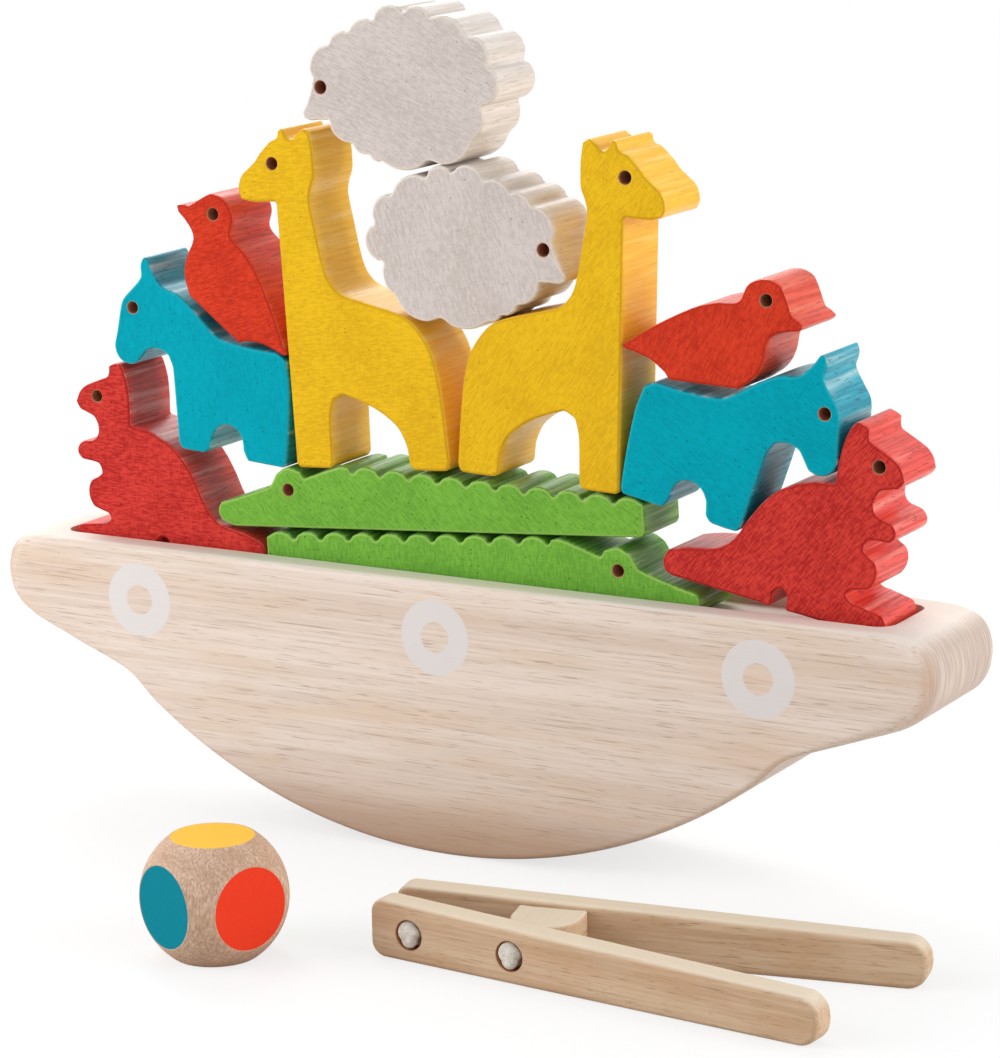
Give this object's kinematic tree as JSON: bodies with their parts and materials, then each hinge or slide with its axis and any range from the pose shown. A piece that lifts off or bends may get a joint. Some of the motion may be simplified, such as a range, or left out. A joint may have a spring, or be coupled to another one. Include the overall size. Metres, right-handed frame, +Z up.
{
  "type": "balancing boat game",
  "caption": "Wooden rocking boat with a shallow tray that carries a balanced stack of flat animal blocks, with a painted die and elastic-sprung tongs to move them.",
  "frame": {"origin": "on the table, under the middle of the boat's keel", "axes": "+X along the boat, +Y away from the player, +Z up"},
  "size_m": [0.3008, 0.1542, 0.2255],
  "materials": {
    "boat": "sanded pale rubberwood, clear satin",
    "kangaroo": "crimson stain",
    "crocodile": "green stain",
    "giraffe": "yellow stain",
    "donkey": "turquoise stain",
    "bird": "orange red stain",
    "sheep": "grey white stain",
    "die": "plain wood with painted round faces",
    "tongs": "sanded plain wood",
    "cord": "braided elastic"
  },
  "bodies": {
    "die": {"die": "die"},
    "boat": {"boat_hull": "boat"},
    "kangaroo_left": {"kangaroo_left": "kangaroo"},
    "kangaroo_right": {"kangaroo_right": "kangaroo"},
    "crocodile_lower": {"crocodile_lower": "crocodile"},
    "crocodile_upper": {"crocodile_upper": "crocodile"},
    "giraffe_left": {"giraffe_left": "giraffe"},
    "giraffe_right": {"giraffe_right": "giraffe"},
    "donkey_left": {"donkey_left": "donkey"},
    "donkey_right": {"donkey_right": "donkey"},
    "bird_left": {"bird_left": "bird"},
    "bird_right": {"bird_right": "bird"},
    "sheep_lower": {"sheep_lower": "sheep"},
    "sheep_upper": {"sheep_upper": "sheep"},
    "tongs_body": {"tongs_back_arm": "tongs", "tongs_spacer": "tongs", "tongs_rear_cord": "cord", "tongs_pivot_cord": "cord"},
    "tongs_front": {"tongs_front_arm": "tongs"}
  },
  "joints": [
    {"name": "boat_rock", "type": "hinge", "parent": "die", "child": "boat", "pos_m": [0, 0, 0.15197], "axis": [0, 1, 0], "range_deg": [-28, 28]},
    {"name": "kangaroo_left_shift", "type": "slide", "parent": "boat", "child": "kangaroo_left", "axis": [0, -1, 0], "range_m": [-0.0015, 0.0015]},
    {"name": "kangaroo_right_shift", "type": "slide", "parent": "boat", "child": "kangaroo_right", "axis": [0, -1, 0], "range_m": [-0.0015, 0.0015]},
    {"name": "crocodile_lower_shift", "type": "slide", "parent": "boat", "child": "crocodile_lower", "axis": [0, -1, 0], "range_m": [-0.0025, 0.0025]},
    {"name": "crocodile_upper_pull", "type": "slide", "parent": "boat", "child": "crocodile_upper", "axis": [0, -1, 0], "range_m": [0, 0.035]},
    {"name": "giraffe_left_pull", "type": "slide", "parent": "boat", "child": "giraffe_left", "axis": [0, -1, 0], "range_m": [0, 0.035]},
    {"name": "giraffe_right_pull", "type": "slide", "parent": "boat", "child": "giraffe_right", "axis": [0, -1, 0], "range_m": [0, 0.035]},
    {"name": "donkey_left_pull", "type": "slide", "parent": "boat", "child": "donkey_left", "axis": [0, -1, 0], "range_m": [0, 0.035]},
    {"name": "donkey_right_pull", "type": "slide", "parent": "boat", "child": "donkey_right", "axis": [0, -1, 0], "range_m": [0, 0.035]},
    {"name": "bird_left_pull", "type": "slide", "parent": "boat", "child": "bird_left", "axis": [0, -1, 0], "range_m": [0, 0.035]},
    {"name": "bird_right_pull", "type": "slide", "parent": "boat", "child": "bird_right", "axis": [0, -1, 0], "range_m": [0, 0.035]},
    {"name": "sheep_lower_pull", "type": "slide", "parent": "boat", "child": "sheep_lower", "axis": [0, -1, 0], "range_m": [0, 0.035]},
    {"name": "sheep_upper_lift", "type": "slide", "parent": "boat", "child": "sheep_upper", "axis": [0, 0, 1], "range_m": [0, 0.05]},
    {"name": "tongs_lift", "type": "slide", "parent": "die", "child": "tongs_body", "axis": [0, 0, 1], "range_m": [0, 0.05]},
    {"name": "tongs_squeeze", "type": "hinge", "parent": "tongs_body", "child": "tongs_front", "pos_m": [0.0683, -0.086, 0.0072], "axis": [0, 0, 1], "range_deg": [-3, 25], "stiffness_Nm_per_rad": 0.3, "deforming": ["tongs_rear_cord", "tongs_pivot_cord"]}
  ]
}
